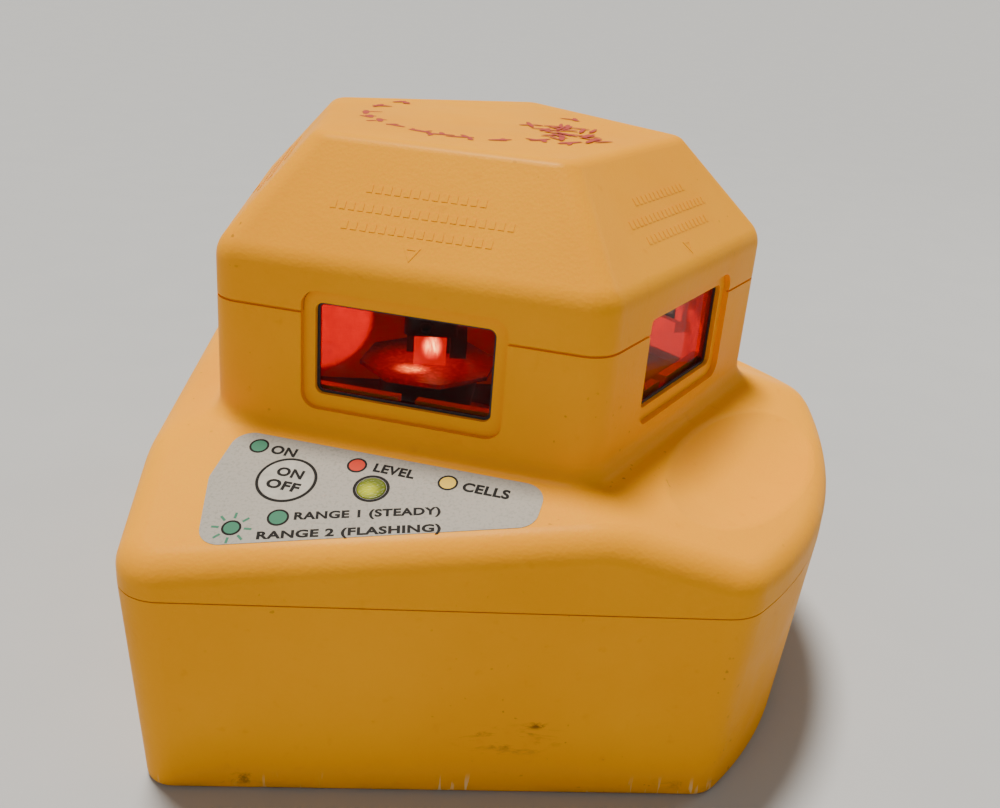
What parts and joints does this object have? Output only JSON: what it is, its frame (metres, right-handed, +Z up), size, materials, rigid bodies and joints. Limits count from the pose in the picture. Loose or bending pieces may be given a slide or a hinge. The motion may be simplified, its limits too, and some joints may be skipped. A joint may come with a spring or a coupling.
{
  "type": "rotating laser level",
  "caption": "Self-levelling rotating laser level: spinning laser head behind flat windows in a five-sided turret on a wide drafted battery base.",
  "frame": {"origin": "on the rotor's spin axis, at the mouth of the tripod thread in the flat underside", "axes": "+Z up along the spin axis; +X towards the rounded nose of the base; -Y towards the wall below the control panel, +Y towards the battery door"},
  "size_m": [0.1815, 0.1869, 0.1453],
  "materials": {
    "shell": "fine moulded stipple, slight sheen",
    "gasket": "matt black",
    "pane": "clear polished",
    "label": "warm grey, fine speckle, satin",
    "button": "warm grey satin",
    "lens": "yellow-green diffusing lens",
    "led": "clear resin",
    "board": "green solder mask",
    "component": "moulded black",
    "steel": "bright",
    "zinc_steel": "bright plated",
    "brass": "turned",
    "aluminium": "machined, clear anodised",
    "copper": "turned copper",
    "black_plastic": "moulded black",
    "black_metal": "black anodised",
    "magnet": "nickel plated",
    "optic": "polished optical glass",
    "cell": "printed steel jacket",
    "motor": "lacquered copper windings"
  },
  "bodies": {
    "housing": {"lower_housing": "shell", "upper_housing": "shell", "roof_cap": "shell", "base_gasket": "gasket", "window_1": "pane", "window_2": "pane", "window_3": "pane", "window_4": "pane", "window_5": "pane", "window_gasket_1": "gasket", "window_gasket_2": "gasket", "window_gasket_3": "gasket", "window_gasket_4": "gasket", "window_gasket_5": "gasket", "panel_label": "label", "status_lens": "lens", "status_led": "led", "panel_board": "board", "power_switch": "black_plastic", "board_screws": "zinc_steel", "tripod_insert": "brass", "housing_screws": "zinc_steel", "cap_screws": "zinc_steel", "battery_tray": "black_plastic", "door_hinge_pin": "steel", "battery_contacts": "zinc_steel", "battery_cell_1": "cell", "battery_cell_2": "cell", "main_board": "board", "board_components": "component", "chassis_plate": "aluminium", "chassis_posts": "aluminium", "chassis_screws": "zinc_steel", "post_screws": "zinc_steel", "outer_gimbal_bearings": "steel", "damper_magnets": "magnet", "magnet_plate": "steel"},
    "gimbal": {"gimbal_ring": "aluminium", "gimbal_trunnions": "steel", "inner_gimbal_bearings": "steel"},
    "pendulum": {"pendulum_tube": "aluminium", "pendulum_trunnions": "steel", "pendulum_weight": "brass", "damper_disc": "copper", "laser_module": "brass", "laser_diode": "steel", "collimator_lens": "optic", "motor_stator": "motor", "rotor_bearings": "steel"},
    "rotor": {"rotor_shaft": "steel", "motor_magnet": "magnet", "rotor_dish": "black_plastic", "rotor_disc": "black_metal", "beam_block": "optic", "prism_holder": "black_metal", "penta_prism": "optic", "relay_lens": "optic", "prism_screws": "zinc_steel"},
    "power_button_cap": {"power_button": "button"},
    "battery_hatch": {"battery_door": "shell"}
  },
  "joints": [
    {"name": "gimbal_tilt", "type": "hinge", "parent": "housing", "child": "gimbal", "pos_m": [0, 0, 0.055], "axis": [1, 0, 0], "range_deg": [-5, 5]},
    {"name": "pendulum_tilt", "type": "hinge", "parent": "gimbal", "child": "pendulum", "pos_m": [0, 0, 0.055], "axis": [0, 1, 0], "range_deg": [-5, 5]},
    {"name": "rotor_spin", "type": "hinge", "parent": "pendulum", "child": "rotor", "pos_m": [0, 0, 0.0775], "axis": [0, 0, 1], "continuous": true},
    {"name": "power_press", "type": "slide", "parent": "housing", "child": "power_button_cap", "axis": [0.0982, 0.3021, -0.9482], "range_m": [0, 0.0005], "stiffness_N_per_m": 1500, "springref_m": -0.0004},
    {"name": "battery_hinge", "type": "hinge", "parent": "housing", "child": "battery_hatch", "pos_m": [0, 0.0919, 0.03831], "axis": [1, 0, 0], "range_deg": [0, 100]}
  ]
}
